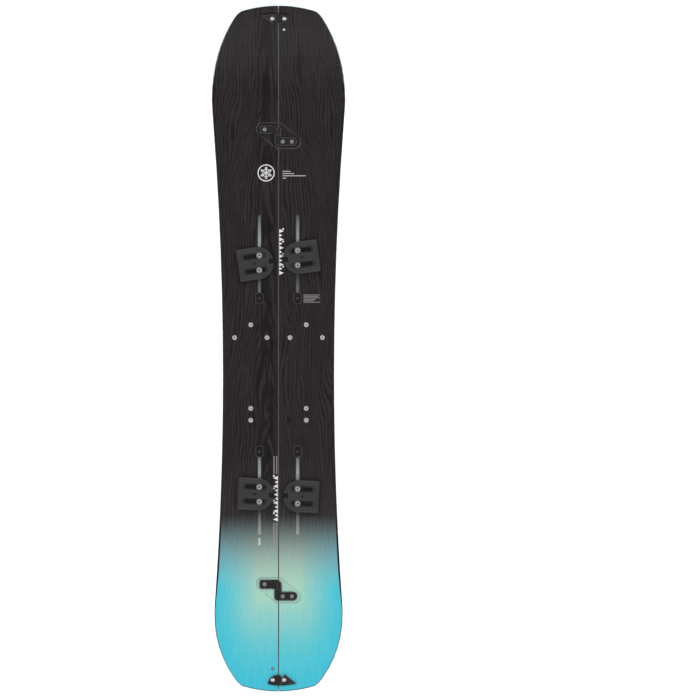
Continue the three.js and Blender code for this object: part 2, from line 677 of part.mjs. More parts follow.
function clipCatch(clip) {
  const reach = clipSpan(clip) - RIVET_R - POST_GAP + CATCH.clearance;
  const cradle = clipSpan(clip) - LEVER.cradle + CATCH.clearance;
  const seam = Math.abs(clip.pivot[0]) + SEAM + CATCH.clearance;
  const shape = clipShape([28.8, 12.8], [27.6, 13.2], [13.5, 12.9]);
  const plate = cut(prism(shape, CATCH.under, LEVER.over, 8), [
    disc(0, 0, reach, -1, 9, 32),
    wedge(cradle, -0.2, 1.5),
    postHole(clip),
    box(-30, seam, -30, 30, -1, 9),
    box(-30, CATCH.notch, 3, 30, -1, 9),
  ]);
  return onKick(plate, clip.pivot, clip.turn);
}

function rivet(clip) {
  const profile = [
    [0, 0.1], [2.5, 0.1], [2.5, LEVER.over + 0.2], [RIVET_R, LEVER.over + 0.2],
    [RIVET_R, LEVER.over + 0.8], [RIVET_R - 0.8, LEVER.over + 1.3], [0, LEVER.over + 1.3],
  ];
  const g = new THREE.LatheGeometry(profile.map(([x, y]) => new THREE.Vector2(x, y)), 12);
  return onKick(g.rotateX(Math.PI / 2), clip.pivot, 0);
}

function post(at, r, height) {
  const profile = [[0, 0.1], [r, 0.1], [r, height - 0.5], [r - 0.8, height], [0, height]];
  const g = new THREE.LatheGeometry(profile.map(([x, y]) => new THREE.Vector2(x, y)), 12);
  return onKick(g.rotateX(Math.PI / 2), at, 0);
}

// ---------------------------------------------------------------- assembly
const board = new THREE.Group();
board.name = 'splitboard';

function mirrored(g) {
  const copy = g.clone().scale(-1, 1, 1);
  const flipped = [];
  for (let i = 0; i < copy.index.count; i += 3) {
    flipped.push(copy.index.getX(i), copy.index.getX(i + 2), copy.index.getX(i + 1));
  }
  copy.setIndex(flipped);
  return copy;
}

function add(name, geometry, finish) {
  const g = facingOut(cleaned(geometry)).toNonIndexed();
  g.computeVertexNormals();
  const mesh = new THREE.Mesh(g, new THREE.MeshStandardMaterial(FINISH[finish]));
  mesh.name = name;
  board.add(mesh);
}

function addPair(name, geometry, finish) {
  const g = cleaned(geometry);
  add(`right_${name}`, g, finish);
  add(`left_${name}`, mirrored(g), finish);
}

addPair('base_sheet', baseSheet(), 'base');
addPair('outer_edge', outerEdge(), 'edge');
addPair('inner_edge', innerEdge(), 'edge');
addPair('lower_laminate', lowerLaminate(), 'laminate');
addPair('core', core(), 'core');
addPair('outer_sidewall', outerSidewall(), 'sidewall');
addPair('inner_sidewall', innerSidewall(), 'seamWall');
addPair('upper_laminate', upperLaminate(), 'laminate');
addPair('topsheet', topsheet(), 'topsheet');
addPair('touring_inserts', insertPlate(TOURING_INSERTS, 0), 'steel');
addPair('heel_inserts', insertPlate(HEEL_INSERTS, 0), 'steel');

for (const [place, c] of Object.entries(CHANNELS)) {
  addPair(`${place}_channel`, channelRail(c), 'channel');
  addPair(`${place}_plug`, channelPlug(c), 'plastic');
}

for (const [place, p] of Object.entries(PUCKS)) {
  add(`${place}_puck`, placedPuck(p), 'puck');
  add(`${place}_nut_strip`, nutStrip(p), 'steel');
  add(`${place}_screw_fore`, puckScrew(p, 1), 'steel');
  add(`${place}_screw_aft`, puckScrew(p, -1), 'steel');
}

for (const [place, y] of Object.entries(HOOKS)) {
  add(`left_${place}_hook`, hook(-1, y), 'plastic');
  add(`right_${place}_hook`, hook(1, y), 'plastic');
}

for (const [place, clip] of Object.entries({ nose: NOSE_CLIP, tail: TAIL_CLIP })) {
  add(`${place}_clip_lever`, clipLever(clip), 'plastic');
  add(`${place}_clip_catch`, clipCatch(clip), 'plastic');
  add(`${place}_clip_rivet`, rivet(clip), 'steel');
  add(`${place}_clip_post`, post(clip.post, RIVET_R, LEVER.over + 1.3), 'steel');
  add(`${place}_clip_stud`, post(clip.park, 3.6, 1), 'steel');
}

export default board;
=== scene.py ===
"""Looks of a splitboard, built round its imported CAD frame.

Outlines and heights are in millimetres and mm() turns them to metres; node materials work in metres.
X is to the right, Y is towards the nose and Z is up out of the topsheet.
"""
import math

import bpy
import bmesh
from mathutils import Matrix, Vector
from mathutils.bvhtree import BVHTree


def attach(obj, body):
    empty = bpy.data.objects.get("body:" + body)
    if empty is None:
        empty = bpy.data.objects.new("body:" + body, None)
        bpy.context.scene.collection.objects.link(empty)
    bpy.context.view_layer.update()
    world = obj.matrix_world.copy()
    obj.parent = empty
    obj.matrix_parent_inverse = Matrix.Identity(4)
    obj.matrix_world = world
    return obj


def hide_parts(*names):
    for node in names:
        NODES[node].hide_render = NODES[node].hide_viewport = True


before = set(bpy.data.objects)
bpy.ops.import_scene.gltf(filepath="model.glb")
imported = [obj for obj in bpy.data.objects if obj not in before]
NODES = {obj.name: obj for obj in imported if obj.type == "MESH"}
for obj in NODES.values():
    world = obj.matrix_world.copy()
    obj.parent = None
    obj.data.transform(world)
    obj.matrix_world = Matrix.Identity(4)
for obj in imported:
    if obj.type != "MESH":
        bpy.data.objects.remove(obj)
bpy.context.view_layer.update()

# ---------------------------------------------------------------- driving dimensions, millimetres
CHANNEL_X = 43.6
TOP = 8.15
PUCK_FOOT = TOP + 0.3
PUCK_H = 10
PUCK_HALF_WIDTH = 37
PUCK_FLAT = 48.7  # the flat end's distance from the middle of the screws
PUCK_ROUND_X = 4  # centre of the round end
PUCK_CORNER = 3.5
PUCK_WAIST = (2.8, 6.6)  # heights between which the side grooves run
PUCK_LEDGE = 8.0  # height of the sunk ledges beside the slots
SLOT_X, SLOT_Y = 10.5, 16.5  # centre of a puck slot
SLOT_OPEN = (54, 12.6, 4)  # length, width and corner radius at the top
SLOT_LEDGE = (53.9, 12.5, 3.9)
SLOT_THROUGH = (44, 8.4, 4.1)
NOTCH_X = -27.1
PUCKS = {
    "left_front": (-CHANNEL_X, 195.6, 8.5),
    "right_front": (CHANNEL_X, 207.0, 7.5),
    "left_rear": (-CHANNEL_X, -332.0, -3.0),
    "right_rear": (CHANNEL_X, -336.3, -2.5),
}
SCREW_PITCH = 33.5
SCREW_SEAT = PUCK_FOOT + PUCK_H + 0.4
PLUGS = {"front": 115.05, "rear": -234.75}
PLUG_SIZE = (14.5, 23.7)
INSERT_R = 5.35
TOURING = [(63.2, 54.5), (100.2, 25.3), (26.2, 25.3)]
HEEL = [(63.2, -136.1), (63.2, -163.2)]
HOOKS = {"front": 486.0, "rear": -550.8}
HOOK_T = 3.5  # from the topsheet to a hook's upper face
CLIPS = {
    "nose": {
        "pivot": (13.7, 752.4), "post": (-13.7, 752.4), "park": (13.0, 726.3),
        "turn": 180, "lever": "right", "stud": "bright_steel",
    },
    "tail": {
        "pivot": (-13.0, -755.7), "post": (13.0, -755.7), "park": (-12.5, -729.5),
        "turn": 0, "lever": "left", "stud": "dull_steel",
    },
}
CLIP_UNDER, CLIP_OVER = 2.2, 4.6  # a lever's faces above the topsheet
CLIP_BACK = [(-11.6, -8), (13, -16.2), (53.1, -7.5)]  # control points of the back of lever and catch
POST_HOLE = 4.85
RIVET_H = 5.9
KICKS = {"nose": (545, 560), "tail": (-585, 620)}  # where each end starts to rise, and its radius
PRINT = (0.03, 0.09)  # a print's faces above the topsheet
FILM = (0.03, 0.1)
FILM_EDGE = (0.11, 0.16)
SEAM_GAP = 1.8  # how far a film stops short of the seam
EMBLEM = (-28.3, 400.8)
BASE_EMBLEM = (-69.3, 438.9)


def mm(value):
    return value / 1000


# ---------------------------------------------------------------- node materials
SUNS = 4
SUN_ENERGY = 1.305
SUN_TILT = 42
SUN_WIDTH = 50
WORLD_GLOW = 0.135
FLOOR_GLOW = 0.2  # lifts the board's own shadow to nearly white
# how much light the studio puts on a level surface
LIGHT_LEVEL = SUNS * SUN_ENERGY * math.cos(math.radians(SUN_TILT)) / math.pi + WORLD_GLOW


def srgb(r, g, b):
    """The reflectance that shows as these 0-255 display values on a level surface in this light."""
    def linear(c):
        c /= 255
        return c / 12.92 if c <= 0.04045 else ((c + 0.055) / 1.055) ** 2.4
    return (linear(r) / LIGHT_LEVEL, linear(g) / LIGHT_LEVEL, linear(b) / LIGHT_LEVEL, 1.0)


class Graph:
    """A short way to wire one material's nodes."""

    def __init__(self, name, roughness=0.5, metallic=0.0, specular=0.5):
        self.mat = bpy.data.materials.new(name)
        self.mat.use_nodes = True
        self.tree = self.mat.node_tree
        self.shader = self.tree.nodes["Principled BSDF"]
        self.shader.inputs["Roughness"].default_value = roughness
        self.shader.inputs["Metallic"].default_value = metallic
        self.shader.inputs["Specular IOR Level"].default_value = specular
        self.coords = self.tree.nodes.new("ShaderNodeTexCoord").outputs["Object"]
        split = self.tree.nodes.new("ShaderNodeSeparateXYZ")
        self.link(self.coords, split.inputs[0])
        self.x, self.y = split.outputs[:2]

    def link(self, a, b):
        self.tree.links.new(a, b)

    def feed(self, socket, value):
        if hasattr(value, "is_output"):
            self.link(value, socket)
        else:
            socket.default_value = value

    def math(self, operation, a, b=0.0):
        node = self.tree.nodes.new("ShaderNodeMath")
        node.operation = operation
        self.feed(node.inputs[0], a)
        self.feed(node.inputs[1], b)
        return node.outputs[0]

    def positive(self, value):
        return self.math("MAXIMUM", value, 0.0)

    def ramp(self, factor, stops):
        node = self.tree.nodes.new("ShaderNodeValToRGB")
        elements = node.color_ramp.elements
        while len(elements) < len(stops):
            elements.new(0.5)
        for element, (place, colour) in zip(elements, stops):
            element.position = place
            element.color = colour
        self.link(factor, node.inputs[0])
        return node.outputs[0]

    def span(self, value, low, high, to_low=0.0, to_high=1.0):
        node = self.tree.nodes.new("ShaderNodeMapRange")
        self.feed(node.inputs["Value"], value)
        node.inputs["From Min"].default_value = low
        node.inputs["From Max"].default_value = high
        node.inputs["To Min"].default_value = to_low
        node.inputs["To Max"].default_value = to_high
        return node.outputs[0]

    def mix(self, factor, a, b):
        """Blends two colours; the node's sockets 6, 7 and 2 are its colour ones."""
        node = self.tree.nodes.new("ShaderNodeMix")
        node.data_type = "RGBA"
        self.feed(node.inputs["Factor"], factor)
        self.feed(node.inputs[6], a)
        self.feed(node.inputs[7], b)
        return node.outputs[2]

    def noise(self, scale, stretch=(1, 1, 1), detail=3.0, offset=(0, 0, 0)):
        move = self.tree.nodes.new("ShaderNodeMapping")
        move.inputs["Scale"].default_value = stretch
        move.inputs["Location"].default_value = offset
        self.link(self.coords, move.inputs["Vector"])
        node = self.tree.nodes.new("ShaderNodeTexNoise")
        node.inputs["Scale"].default_value = scale
        node.inputs["Detail"].default_value = detail
        self.link(move.outputs[0], node.inputs["Vector"])
        return node.outputs["Fac"]

    def bump(self, height, distance, strength=0.5):
        node = self.tree.nodes.new("ShaderNodeBump")
        node.inputs["Distance"].default_value = distance
        node.inputs["Strength"].default_value = strength
        self.link(height, node.inputs["Height"])
        self.link(node.outputs[0], self.shader.inputs["Normal"])

    def colour(self, value):
        self.feed(self.shader.inputs["Base Color"], value)

    def rough(self, value, low, high):
        self.link(self.span(value, 0.3, 0.7, low, high), self.shader.inputs["Roughness"])


SEA = [
    (0.0, srgb(170, 213, 193)),
    (0.2, srgb(141, 207, 200)),
    (0.35, srgb(125, 204, 205)),
    (0.5, srgb(101, 201, 208)),
    (0.7, srgb(72, 198, 214)),
    (0.95, srgb(46, 193, 217)),
]
SEA_REACH = 0.08  # metres from the mint to the deepest turquoise
GRAIN_X = -0.028  # the growth lines bow round this line along the board
FADE_FROM, FADE_TO = -0.377, -0.565  # where the topsheet's black ends and where it is all stain


def sea_colour(g, across, along_from, along_rate):
    """Mint in the middle of the board, turquoise towards its edges and ends."""
    past = g.positive(g.math("SUBTRACT", g.math("ABSOLUTE", g.y), along_from))
    along = g.math("MULTIPLY", past, along_rate)
    squares = g.math("ADD", g.math("POWER", across, 2.0), g.math("POWER", along, 2.0))
    return g.ramp(g.math("DIVIDE", g.math("SQRT", squares), SEA_REACH), SEA)


def base_material():
    """The turquoise deepens outside a band that widens from the waist like the board does."""
    g = Graph("base_polyethylene", roughness=0.3, specular=0.35)
    from_waist = g.math("ADD", g.y, 0.062)
    flare = g.math("MULTIPLY", g.math("POWER", g.math("ABSOLUTE", from_waist), 2.0), 0.057)
    off = g.math("SUBTRACT", g.math("ABSOLUTE", g.x), g.math("ADD", flare, 0.045))
    sea = sea_colour(g, g.positive(off), 0.53, 0.33)
    grind = g.noise(220, (1, 0.06, 1), 4)
    g.colour(g.mix(g.span(grind, 0.35, 0.65, 0.0, 0.06), sea, srgb(230, 245, 240)))
    g.rough(grind, 0.26, 0.4)
    g.bump(grind, 0.0002, 0.25)
    return g.mat


def wood_lines(g):
    """Where a point lies between two growth lines, 0 to 1: bowed left of the seam, long elsewhere."""
    off = g.math("ABSOLUTE", g.math("SUBTRACT", g.x, GRAIN_X))
    bowed = g.math("SQRT", g.math("ADD", g.math("POWER", off, 2.0), 0.00035))
    even = g.math("MULTIPLY", bowed, 165.0)
    drift = g.math("MULTIPLY", g.y, 10.0)
    arches = g.math("MULTIPLY", g.noise(1, (14, 4.4, 0), 1), 8.0)
    sway = g.math("MULTIPLY", g.noise(1, (62, 9, 0), 2, (3, 1, 0)), 2.2)
    return g.math("FRACT", g.math("ADD", g.math("ADD", even, drift), g.math("ADD", arches, sway)))


def cathedral(g):
    """How dark the broad nested arches left of the seam are, 0 to 0.8."""
    off = g.math("ABSOLUTE", g.math("SUBTRACT", g.x, GRAIN_X))
    curve = g.math("MULTIPLY", g.math("POWER", off, 2.0), 14000.0)
    wander = g.math("MULTIPLY", g.noise(1, (20, 7, 0), 2, (5, 2, 0)), 14.0)
    wave = g.math("SINE", g.math("ADD", g.math("ADD", g.math("MULTIPLY", g.y, 46.0), curve), wander))
    beside = g.span(off, 0.014, 0.03, 1.0, 0.0)
    return g.math("MULTIPLY", beside, g.span(wave, -0.1, 0.5, 0.0, 0.8))


def black_wood(g, lines, fibre):
    """Nearly black, darkest on the growth lines, a little greyer towards the fade."""
    black = g.ramp(lines, [
        (0.0, srgb(20, 15, 17)),
        (0.2, srgb(42, 37, 39)),
        (0.6, srgb(52, 47, 49)),
        (0.8, srgb(40, 35, 37)),
        (1.0, srgb(20, 15, 17)),
    ])
    black = g.mix(g.span(fibre, 0.42, 0.66, 0.0, 0.5), black, srgb(27, 23, 25))
    black = g.mix(cathedral(g), black, srgb(24, 19, 21))
    return g.mix(g.span(g.y, -0.24, -0.365, 0.0, 0.03), black, srgb(150, 148, 148))


def sea_wood(g, lines, fibre):
    """The stain, greyish where it comes out of the black."""
    off_seam = g.math("SUBTRACT", g.math("ABSOLUTE", g.x), 0.045)
    sea = sea_colour(g, g.math("MULTIPLY", g.positive(off_seam), 0.7), 0.565, 0.4)
    sea = g.mix(g.span(g.y, -0.39, -0.55, 0.62, 0.0), sea, srgb(200, 206, 206))
    streak = g.ramp(lines, [(0.0, (1, 1, 1, 1)), (0.3, (0, 0, 0, 1)), (1.0, (0.6, 0.6, 0.6, 1))])
    sea = g.mix(g.math("MULTIPLY", streak, 0.1), sea, srgb(70, 140, 150))
    return g.mix(g.span(fibre, 0.4, 0.7, 0.0, 0.1), sea, srgb(228, 242, 236))


def topsheet_material():
    """Black stained wood that fades to a turquoise stain towards the tail."""
    g = Graph("topsheet_print", roughness=0.28, specular=0.16)
    lines = wood_lines(g)
    fibre = g.noise(1, (900, 14, 0), 3)
    black, sea = black_wood(g, lines, fibre), sea_wood(g, lines, fibre)
    wavy = g.math("ADD", g.y, g.math("MULTIPLY", g.math("SUBTRACT", fibre, 0.5), 0.02))
    past = g.math("MULTIPLY", g.span(wavy, FADE_FROM, FADE_TO), math.pi / 2)
    fade = g.math("POWER", g.math("SINE", past), 1.4)
    g.colour(g.mix(fade, black, sea))
    g.rough(g.noise(60, (1, 0.3, 1), 4), 0.24, 0.36)
    g.bump(lines, 0.0002, 0.25)
    return g.mat


def plastic(name, dark, light, scale, roughness):
    """A moulding with fine specks and a faint texture."""
    g = Graph(name, roughness=roughness, specular=0.14)
    speck = g.noise(scale, detail=4)
    g.colour(g.ramp(speck, [(0.3, dark), (0.7, light)]))
    g.rough(speck, roughness - 0.06, roughness + 0.08)
    g.bump(g.noise(scale * 2, detail=2), 0.0002, 0.4)
    return g.mat


def metal(name, dark, light, stretch, roughness, scale=500):
    """A stretch under 1 draws the marks out along that axis."""
    g = Graph(name, roughness=roughness, metallic=1.0)
    brush = g.noise(scale, stretch, 3)
    g.colour(g.ramp(brush, [(0.35, dark), (0.65, light)]))
    g.rough(brush, roughness - 0.07, roughness + 0.1)
    g.bump(brush, 0.0001, 0.25)
    return g.mat


def channel_material():
    """Brushed aluminium with a painted reflection: its uneven brightness along the board is painted into
    its colour from a table of pairs of y and display grey.
    """
    g = Graph("channel_aluminium", roughness=0.42, metallic=0.5)
    brush = g.noise(900, (1, 0.01, 1), 3)
    # painted reflection: how bright the channel shows at each y along the board
    reflection_greys = [
        (-430, 200), (-372, 70), (-285, 190), (-240, 118),
        (128, 120), (170, 45), (235, 200), (310, 72),
    ]
    start, end = reflection_greys[0][0], reflection_greys[-1][0]
    painted_reflection = g.ramp(g.span(g.y, mm(start), mm(end)),
                   [((y - start) / (end - start), srgb(v - 3, v + 6, v + 2)) for y, v in reflection_greys])
    g.colour(g.mix(g.span(brush, 0.35, 0.65, 0.0, 0.12), painted_reflection, srgb(190, 196, 194)))
    g.rough(brush, 0.36, 0.52)
    g.bump(brush, 0.0001, 0.25)
    return g.mat


def tip_fill(g):
    """1 in the dark filled ends of the board, 0 between them."""
    return g.span(g.math("ABSOLUTE", g.y), 0.655, 0.66)


def wood_core_material():
    """Strips of poplar along the board, between the filled ends."""
    g = Graph("poplar_core", roughness=0.7)
    strip = g.noise(60, (1, 0, 0), 0)
    grain = g.noise(320, (1, 0.02, 1), 4)
    body = g.ramp(strip, [(0.4, srgb(196, 160, 108)), (0.6, srgb(222, 192, 144))])
    body = g.mix(g.span(grain, 0.4, 0.7, 0.0, 0.35), body, srgb(150, 108, 64))
    g.colour(g.mix(tip_fill(g), body, srgb(34, 32, 34)))
    g.bump(grain, 0.0003, 0.4)
    return g.mat


def laminate_material():
    """A plain weave of glass fibre, between the filled ends."""
    g = Graph("glass_laminate", roughness=0.4)
    warp = g.math("SINE", g.math("MULTIPLY", g.x, 4200.0))
    weft = g.math("SINE", g.math("MULTIPLY", g.y, 4200.0))
    weave = g.math("ADD", g.math("MULTIPLY", g.math("MULTIPLY", warp, weft), 0.25), 0.5)
    cloth = g.ramp(weave, [(0.3, srgb(150, 148, 124)), (0.7, srgb(180, 176, 150))])
    g.colour(g.mix(tip_fill(g), cloth, srgb(40, 38, 40)))
    g.bump(weave, 0.0002, 0.4)
    return g.mat


def print_material(name, colour):
    """A screen print: nearly even, a little worn through in specks."""
    g = Graph(name, roughness=0.4, specular=0.3)
    speck = g.noise(700, detail=4)
    g.colour(g.mix(g.span(speck, 0.6, 0.8, 0.0, 0.08), colour, srgb(90, 88, 88)))
    g.rough(speck, 0.36, 0.46)
    return g.mat


def film_material(name, dark, light, alpha):
    """Clear film; alpha is how much of it shows."""
    g = Graph(name, roughness=0.2, specular=0.3)
    speck = g.noise(300, detail=3)
    g.colour(g.ramp(speck, [(0.4, dark), (0.6, light)]))
    g.shader.inputs["Alpha"].default_value = alpha
    return g.mat


FINE = 2500  # scales of the surface noise
MOULDED = 1400

MAT = {
    "base": base_material(),
    "topsheet": topsheet_material(),
    "core": wood_core_material(),
    "laminate": laminate_material(),
    "sidewall": plastic("sidewall_abs", srgb(20, 18, 20), srgb(30, 28, 30), 400, 0.45),
    "seam_wall": plastic("seam_wall_abs", srgb(76, 74, 76), srgb(92, 90, 92), 400, 0.5),
    "edge": metal("edge_steel", srgb(120, 124, 128), srgb(170, 174, 178), (1, 0.02, 1), 0.32),
    "channel": channel_material(),
    "steel": metal("zinc_steel", srgb(172, 170, 173), srgb(198, 196, 199), (1, 1, 1), 0.36, FINE),
    "bright_steel": metal("bright_steel", srgb(196, 194, 196), srgb(222, 220, 222), (1, 1, 1), 0.36, FINE),
    "dull_steel": metal("dull_steel", srgb(126, 125, 128), srgb(150, 149, 152), (1, 1, 1), 0.45, FINE),
    "clip": plastic("clip_nylon", srgb(29, 26, 28), srgb(37, 34, 36), MOULDED, 0.42),
    # lighter than the clip: painted highlights along the edges and raised strokes of clips and hooks
    "clip_ridge": plastic("clip_ridge_highlight_nylon", srgb(78, 74, 77), srgb(88, 84, 87), MOULDED, 0.42),
    "puck": plastic("puck_nylon", srgb(50, 48, 49), srgb(57, 54, 55), MOULDED, 0.45),
    # darker than the puck: painted shade on the sunk ledges beside the slots
    "puck_ledge": plastic("puck_ledge_shaded_nylon", srgb(38, 37, 38), srgb(46, 45, 46), MOULDED, 0.5),
    # lighter than the puck: a painted highlight on the raised lines; the plug grips take this finish too
    "puck_ridge": plastic("puck_ridge_nylon", srgb(68, 67, 68), srgb(76, 75, 76), MOULDED, 0.45),
    "plug": plastic("plug_nylon", srgb(11, 9, 10), srgb(18, 16, 17), MOULDED, 0.5),
    # painted shade: the dark disc in each screw head's recess
    "dark": plastic("painted_recess_shade", srgb(22, 21, 22), srgb(30, 28, 30), MOULDED, 0.6),
    "rubber": plastic("black_rubber", srgb(16, 15, 16), srgb(28, 26, 27), 1200, 0.7),
    "white_print": print_material("white_print", srgb(232, 232, 232)),
    "grey_print": print_material("grey_print", srgb(128, 124, 126)),
    "light_print": print_material("light_print", srgb(172, 169, 170)),
    "plug_outline": print_material("plug_outline", srgb(74, 70, 72)),
    "strip_print": print_material("strip_print", srgb(150, 146, 148)),
    "tick_print": print_material("tick_print", srgb(118, 62, 58)),
    "black_print": print_material("black_print", srgb(8, 9, 11)),
    "pale_print": print_material("pale_print", srgb(150, 190, 196)),
    "film": film_material("clear_film", srgb(70, 70, 70), srgb(80, 80, 80), 0.02),
    "film_edge": film_material("clear_film_edge", srgb(118, 118, 118), srgb(130, 130, 130), 0.32),
}

NODE_FINISH = [
    ("base_sheet", "base"), ("_edge", "edge"), ("laminate", "laminate"), ("core", "core"),
    ("outer_sidewall", "sidewall"), ("inner_sidewall", "seam_wall"), ("topsheet", "topsheet"),
    ("inserts", "dull_steel"), ("channel", "channel"), ("plug", "plug"), ("nut_strip", "dull_steel"),
    ("screw", "steel"), ("hook", "clip"), ("lever", "clip"), ("catch", "clip"), ("rivet", "steel"),
    ("clip_post", "steel"), ("clip_stud", "steel"), ("puck", "puck"),
]


def finish_cad_nodes():
    """Gives each CAD node the finish of the first name part that it has."""
    for name, obj in NODES.items():
        finish = next(f for part, f in NODE_FINISH if part in name)
        obj.data.materials.clear()
        obj.data.materials.append(MAT[finish])
        obj.data.polygons.foreach_set("use_smooth", [True] * len(obj.data.polygons))
        obj.data.set_sharp_from_angle(angle=math.radians(24))


# ---------------------------------------------------------------- mesh builders
def new_object(name, mesh, material, smooth_angle=35):
    obj = bpy.data.objects.new(name, mesh)
    bpy.context.scene.collection.objects.link(obj)
    mesh.materials.clear()
    mesh.materials.append(MAT[material])
    mesh.polygons.foreach_set("use_smooth", [True] * len(mesh.polygons))
    mesh.set_sharp_from_angle(angle=math.radians(smooth_angle))
    return obj


def plate_mesh(loops, z0, z1, bevel=0.0, bevel_steps=2):
    """A flat plate between two heights, cut to closed loops in plan, with rounded edges."""
    data = bpy.data.curves.new("plate", "CURVE")
    data.dimensions = "2D"
    data.fill_mode = "BOTH"
    for loop in loops:
        spline = data.splines.new("POLY")
        spline.points.add(len(loop) - 1)
        for point, (x, y) in zip(spline.points, loop):
            point.co = (mm(x), mm(y), 0, 1)
        spline.use_cyclic_u = True
    data.extrude = mm((z1 - z0) / 2 - bevel)
    data.bevel_depth = mm(bevel)
    data.bevel_resolution = bevel_steps
    data.offset = -mm(bevel)
    holder = bpy.data.objects.new("plate", data)
    bpy.context.scene.collection.objects.link(holder)
    bpy.context.view_layer.update()
    depsgraph = bpy.context.evaluated_depsgraph_get()
    mesh = bpy.data.meshes.new_from_object(holder.evaluated_get(depsgraph))
    bpy.data.objects.remove(holder)
    for v in mesh.vertices:
        v.co.z += mm((z0 + z1) / 2)
    weld(mesh)
    return mesh


def weld(mesh):
    bm = bmesh.new()
    bm.from_mesh(mesh)
    bmesh.ops.remove_doubles(bm, verts=bm.verts, dist=1e-6)
    bmesh.ops.recalc_face_normals(bm, faces=bm.faces)
    bm.to_mesh(mesh)
    bm.free()


def lathe_mesh(profile, segments, centre=(0, 0)):
    """Turns a profile of (radius, height) about +Z."""
    bm = bmesh.new()
    rings = []
    for r, z in profile:
        if r < 1e-6:
            rings.append([bm.verts.new((mm(centre[0]), mm(centre[1]), mm(z)))])
            continue
        ring = []
        for i in range(segments):
            a = 2 * math.pi * i / segments
            x, y = centre[0] + r * math.cos(a), centre[1] + r * math.sin(a)
            ring.append(bm.verts.new((mm(x), mm(y), mm(z))))
        rings.append(ring)
    for low, high in zip(rings, rings[1:]):
        for i in range(segments):
            j = (i + 1) % segments
            corners = [low[i % len(low)], low[j % len(low)], high[j % len(high)], high[i % len(high)]]
            unique = list(dict.fromkeys(corners))
            if len(unique) > 2:
                bm.faces.new(unique)
    bmesh.ops.recalc_face_normals(bm, faces=bm.faces)
    mesh = bpy.data.meshes.new("lathe")
    bm.to_mesh(mesh)
    bm.free()
    return mesh


def joined(meshes):
    bm = bmesh.new()
    for mesh in meshes:
        bm.from_mesh(mesh)
    result = bpy.data.meshes.new("joined")
    bm.to_mesh(result)
    bm.free()
    return result


def moved(mesh, place=(0, 0, 0), turn=0.0, tilt=0.0):
    """Turns about Z, then tilts about X, then moves; degrees and millimetres."""
    ct, st = math.cos(math.radians(turn)), math.sin(math.radians(turn))
    cx, sx = math.cos(math.radians(tilt)), math.sin(math.radians(tilt))
    for v in mesh.vertices:
        x, y, z = v.co
        x, y = x * ct - y * st, x * st + y * ct
        y, z = y * cx - z * sx, y * sx + z * cx
        v.co = (x + mm(place[0]), y + mm(place[1]), z + mm(place[2]))
    return mesh


def arc(cx, cy, r, start, end, steps):
    angles = [math.radians(start + (end - start) * i / steps) for i in range(steps + 1)]
    return [(cx + r * math.cos(a), cy + r * math.sin(a)) for a in angles]


def circle(cx, cy, r, steps=40):
    return arc(cx, cy, r, 0, 360, steps)[:-1]


def rounded_rect(cx, cy, w, h, r):
    x0, x1, y0, y1 = cx - w / 2 + r, cx + w / 2 - r, cy - h / 2 + r, cy + h / 2 - r
    return (arc(x1, y0, r, -90, 0, 6) + arc(x1, y1, r, 0, 90, 6)
            + arc(x0, y1, r, 90, 180, 6) + arc(x0, y0, r, 180, 270, 6))


def surface_tree(node):
    """For finding the height of a CAD surface."""
    mesh = NODES[node].data
    corners = [v.co.copy() for v in mesh.vertices]
    return BVHTree.FromPolygons(corners, [tuple(p.vertices) for p in mesh.polygons])


TREES = {f"{side}_{node}": surface_tree(f"{side}_{node}") for side in ("left", "right")
         for node in ("topsheet", "base_sheet")}


def laid_on(mesh, side, under=False):
    """Lays a thin flat mesh on the topsheet, or under the base; its own heights become a lift off it.

    A point past the rim takes the height just inside the nearest point of the rim.
    """
    tree = TREES[f"{side}_base_sheet" if under else f"{side}_topsheet"]
    start, way = (-1.0, 1.0) if under else (1.0, -1.0)
    for v in mesh.vertices:
        hit = tree.ray_cast(Vector((v.co.x, v.co.y, start)), Vector((0, 0, way)))[0]
        if hit is None:
            near = tree.find_nearest(Vector((v.co.x, v.co.y, mm(TOP))))[0]
            hit = tree.ray_cast(Vector((near.x * 0.999, near.y, start)), Vector((0, 0, way)))[0] or near
        v.co.z = hit.z - way * v.co.z
    return mesh


def divided(mesh, spacing):
    """Cuts a mesh across the board every so many millimetres, so that it can follow a kick."""
    bm = bmesh.new()
    bm.from_mesh(mesh)
    ys = [v.co.y for v in bm.verts]
    y = math.ceil(min(ys) / mm(spacing)) * mm(spacing)
    while y < max(ys):
        geometry = bm.verts[:] + bm.edges[:] + bm.faces[:]
        bmesh.ops.bisect_plane(bm, geom=geometry, plane_co=(0, y, 0), plane_no=(0, 1, 0))
        y += mm(spacing)
    bm.to_mesh(mesh)
    bm.free()
    return mesh


def piece(name, mesh, material, body, replaces=(), smooth_angle=35):
    obj = new_object(name, mesh, material, smooth_angle)
    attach(obj, body)
    if replaces:
        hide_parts(*replaces)


# ---------------------------------------------------------------- binding pucks
def puck_outline(inset=0.0):
    """The flat end points to +X; inset narrows the block."""
    half, r = PUCK_HALF_WIDTH - inset, PUCK_CORNER
    reach = math.degrees(math.asin(half / PUCK_HALF_WIDTH))
    return (arc(PUCK_FLAT - r, -half + r, r, -90, 0, 6) + arc(PUCK_FLAT - r, half - r, r, 0, 90, 6)
            + arc(PUCK_ROUND_X, 0, PUCK_HALF_WIDTH, 180 - reach, 180 + reach, 40))


def puck_slots(length, width, r):
    return [rounded_rect(SLOT_X, y, length, width, r) for y in (-SLOT_Y, SLOT_Y)]


def star(x, r_out, r_in, points):
    steps = [(r_out if i % 2 == 0 else r_in, math.pi * i / points) for i in range(2 * points)]
    return [(x + r * math.cos(a), r * math.sin(a)) for r, a in steps]


